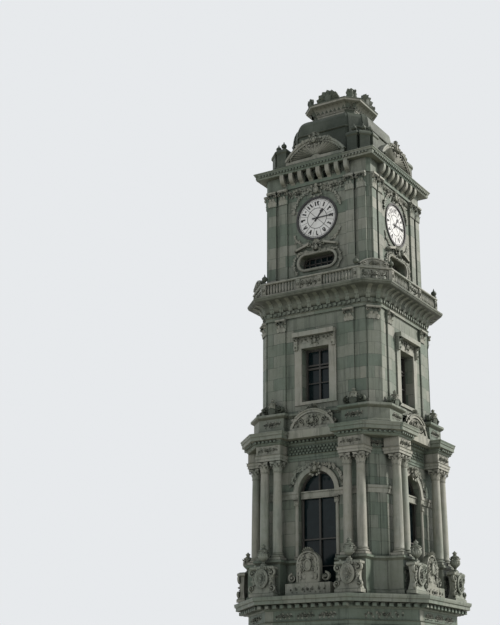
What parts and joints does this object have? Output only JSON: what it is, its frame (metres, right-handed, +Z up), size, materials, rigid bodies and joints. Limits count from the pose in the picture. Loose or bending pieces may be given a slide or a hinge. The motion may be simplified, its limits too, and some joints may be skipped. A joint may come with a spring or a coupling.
{
  "type": "four-sided stone clock tower",
  "caption": "Stone clock tower in four storeys with clustered columns, a balustraded balcony, four dials and a domed roof.",
  "frame": {"origin": "centre of the foot at ground level", "axes": "+Z up, the front dial and the entrance door face -Y, +X towards the right dial"},
  "size_m": [8.5, 8.5, 27],
  "materials": {
    "wall_stone": "weathered",
    "rose_stone": "weathered",
    "roof_stone": "weathered",
    "dark_wood": "matte",
    "floor_boards": "matte",
    "window_glass": "clear",
    "dial_enamel": "gloss",
    "rim_iron": "satin",
    "hand_iron": "satin"
  },
  "bodies": {
    "tower": {"arch_columns": "rose_stone", "archivolts": "wall_stone", "attic_course": "wall_stone", "attic_panels": "wall_stone", "balcony_slab": "wall_stone", "balustrade": "wall_stone", "base_steps": "wall_stone", "clock_cornice": "wall_stone", "clock_frieze": "wall_stone", "clock_piers": "wall_stone", "clock_pilasters": "rose_stone", "clock_walls": "wall_stone", "column_blocks": "wall_stone", "column_pedestals": "wall_stone", "cornice_consoles": "wall_stone", "crown": "roof_stone", "crown_crests": "roof_stone", "dial_rims": "rim_iron", "dials": "dial_enamel", "domed_roof": "roof_stone", "entrance_door": "dark_wood", "finials": "roof_stone", "first_columns": "rose_stone", "first_cornice": "wall_stone", "first_frieze": "wall_stone", "first_piers": "wall_stone", "first_plinth": "wall_stone", "first_walls": "wall_stone", "floors": "floor_boards", "ground_cornice": "wall_stone", "ground_frieze": "wall_stone", "ground_piers": "wall_stone", "ground_pilasters": "rose_stone", "ground_plinth": "wall_stone", "ground_walls": "wall_stone", "impost_band": "wall_stone", "medallion_pedestals": "wall_stone", "oval_surrounds": "wall_stone", "parapet_stones": "wall_stone", "roof_cap": "roof_stone", "roof_lunettes": "roof_stone", "roof_parapets": "roof_stone", "second_frieze": "wall_stone", "second_piers": "wall_stone", "second_pilasters": "rose_stone", "second_walls": "wall_stone", "vases": "wall_stone", "window_frames": "dark_wood", "window_glass": "window_glass", "window_surrounds": "wall_stone"},
    "front_minute": {"front_minute_hand": "hand_iron"},
    "front_hour": {"front_hour_hand": "hand_iron"},
    "right_minute": {"right_minute_hand": "hand_iron"},
    "right_hour": {"right_hour_hand": "hand_iron"},
    "back_minute": {"back_minute_hand": "hand_iron"},
    "back_hour": {"back_hour_hand": "hand_iron"},
    "left_minute": {"left_minute_hand": "hand_iron"},
    "left_hour": {"left_hour_hand": "hand_iron"}
  },
  "joints": [
    {"name": "front_minute_turn", "type": "hinge", "parent": "tower", "child": "front_minute", "pos_m": [0, -2.283, 20.92], "axis": [0, 1, 0], "continuous": true},
    {"name": "front_hour_turn", "type": "hinge", "parent": "tower", "child": "front_hour", "pos_m": [0, -2.283, 20.92], "axis": [0, 1, 0], "continuous": true},
    {"name": "right_minute_turn", "type": "hinge", "parent": "tower", "child": "right_minute", "pos_m": [2.283, 0, 20.92], "axis": [-1, 0, 0], "continuous": true},
    {"name": "right_hour_turn", "type": "hinge", "parent": "tower", "child": "right_hour", "pos_m": [2.283, 0, 20.92], "axis": [-1, 0, 0], "continuous": true},
    {"name": "back_minute_turn", "type": "hinge", "parent": "tower", "child": "back_minute", "pos_m": [0, 2.283, 20.92], "axis": [0, -1, 0], "continuous": true},
    {"name": "back_hour_turn", "type": "hinge", "parent": "tower", "child": "back_hour", "pos_m": [0, 2.283, 20.92], "axis": [0, -1, 0], "continuous": true},
    {"name": "left_minute_turn", "type": "hinge", "parent": "tower", "child": "left_minute", "pos_m": [-2.283, 0, 20.92], "axis": [1, 0, 0], "continuous": true},
    {"name": "left_hour_turn", "type": "hinge", "parent": "tower", "child": "left_hour", "pos_m": [-2.283, 0, 20.92], "axis": [1, 0, 0], "continuous": true}
  ],
  "couplings": [
    {"joint": "front_hour_turn", "follows": "front_minute_turn", "ratio": 0.083333},
    {"joint": "right_minute_turn", "follows": "front_minute_turn", "ratio": 1},
    {"joint": "right_hour_turn", "follows": "front_minute_turn", "ratio": 0.083333},
    {"joint": "back_minute_turn", "follows": "front_minute_turn", "ratio": 1},
    {"joint": "back_hour_turn", "follows": "front_minute_turn", "ratio": 0.083333},
    {"joint": "left_minute_turn", "follows": "front_minute_turn", "ratio": 1},
    {"joint": "left_hour_turn", "follows": "front_minute_turn", "ratio": 0.083333}
  ]
}
